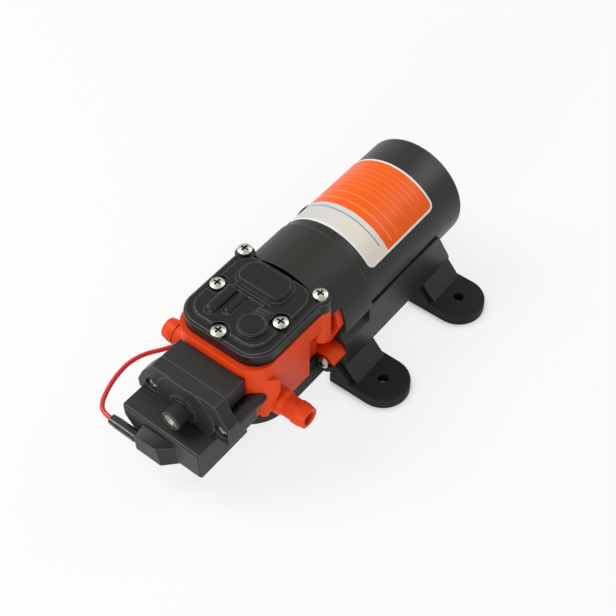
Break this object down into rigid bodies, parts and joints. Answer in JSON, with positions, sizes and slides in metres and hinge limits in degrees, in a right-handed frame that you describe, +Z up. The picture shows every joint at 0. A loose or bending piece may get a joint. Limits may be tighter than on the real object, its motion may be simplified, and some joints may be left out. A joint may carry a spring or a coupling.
{
  "type": "diaphragm water pump",
  "caption": "Small electric diaphragm water pump lying on four rubber feet, with an orange head, a hose barb on each side and a pressure switch in front.",
  "frame": {"origin": "centre of the pump's length and width, on the surface that the feet stand on", "axes": "+X along the motor to its closed end, +Y to the side with the lead, +Z up"},
  "size_m": [0.165, 0.0984, 0.0626],
  "materials": {
    "can_black": "satin black lacquer on drawn steel",
    "label_print": "printed film, pale border and orange field",
    "shroud_black": "fine textured black moulding",
    "cover_black": "fine textured black moulding",
    "tub_black": "fine textured black moulding",
    "switch_black": "fine textured black moulding",
    "feet_rubber": "matt black rubber",
    "head_orange": "satin orange-red moulding",
    "screw_steel": "bright zinc plate",
    "shaft_steel": "ground steel",
    "core_steel": "stacked laminations",
    "magnet_grey": "ferrite",
    "copper": "enamelled copper",
    "brass": "brass strip",
    "carbon": "pressed carbon",
    "inner_plastic": "natural nylon",
    "inner_rubber": "black EPDM",
    "bronze": "sintered bronze",
    "lead_red": "red wire insulation",
    "sleeve_black": "glossy black sleeve"
  },
  "bodies": {
    "pump": {"motor_can": "can_black", "motor_label": "label_print", "motor_base": "shroud_black", "rubber_feet": "feet_rubber", "crankcase": "tub_black", "pump_body": "head_orange", "diaphragm": "inner_rubber", "valve_plate": "inner_plastic", "cover_seal": "inner_rubber", "top_cover": "cover_black", "cover_screws": "screw_steel", "flange_screws": "screw_steel", "switch_base": "switch_black", "switch_housing": "switch_black", "switch_film": "inner_rubber", "switch_spring": "shaft_steel", "switch_screws": "screw_steel", "microswitch": "inner_plastic", "switch_terminals": "brass", "spade_sleeve": "sleeve_black", "red_lead": "lead_red", "lead_outlet": "sleeve_black", "motor_end_plate": "shaft_steel", "front_bearing": "shaft_steel", "rear_bush": "bronze", "magnets": "magnet_grey", "brush_card": "inner_plastic", "brushes": "carbon", "brush_springs": "shaft_steel"},
    "rotor": {"motor_shaft": "shaft_steel", "armature_core": "core_steel", "armature_winding": "copper", "commutator": "copper", "eccentric": "shaft_steel"},
    "rod": {"connecting_rod": "inner_plastic", "rod_bearing": "shaft_steel", "clamp_disc": "inner_plastic", "clamp_screw": "screw_steel"},
    "inlet_flap": {"inlet_valve": "inner_rubber"},
    "outlet_flap": {"outlet_valve": "inner_rubber"},
    "plunger": {"switch_plunger": "inner_plastic"},
    "button": {"microswitch_button": "inner_plastic"},
    "set_screw": {"adjusting_screw": "screw_steel"}
  },
  "joints": [
    {"name": "rotor_turn", "type": "hinge", "parent": "pump", "child": "rotor", "pos_m": [0, 0, 0.036], "axis": [1, 0, 0], "continuous": true, "deforming": ["diaphragm"]},
    {"name": "rod_swing", "type": "hinge", "parent": "rotor", "child": "rod", "pos_m": [-0.0305, 0, 0.0344], "axis": [1, 0, 0], "continuous": true},
    {"name": "inlet_lift", "type": "slide", "parent": "pump", "child": "inlet_flap", "axis": [0, 0, -1], "range_m": [0, 0.0004], "stiffness_N_per_m": 20, "springref_m": -0.0001},
    {"name": "outlet_lift", "type": "slide", "parent": "pump", "child": "outlet_flap", "axis": [0, 0, 1], "range_m": [0, 0.0004], "stiffness_N_per_m": 20, "springref_m": -0.0001},
    {"name": "plunger_travel", "type": "slide", "parent": "pump", "child": "plunger", "axis": [-1, 0, 0], "range_m": [0, 0.0006], "stiffness_N_per_m": 400, "springref_m": -0.0005, "deforming": ["switch_spring", "switch_film"]},
    {"name": "button_travel", "type": "slide", "parent": "pump", "child": "button", "axis": [-1, 0, 0], "range_m": [0, 0.0006]},
    {"name": "set_screw_turn", "type": "hinge", "parent": "pump", "child": "set_screw", "pos_m": [-0.073, 0, 0.036], "axis": [1, 0, 0], "range_deg": [-180, 180]}
  ],
  "couplings": [
    {"joint": "rod_swing", "follows": "rotor_turn", "ratio": -1},
    {"joint": "button_travel", "follows": "plunger_travel", "ratio": 1}
  ]
}
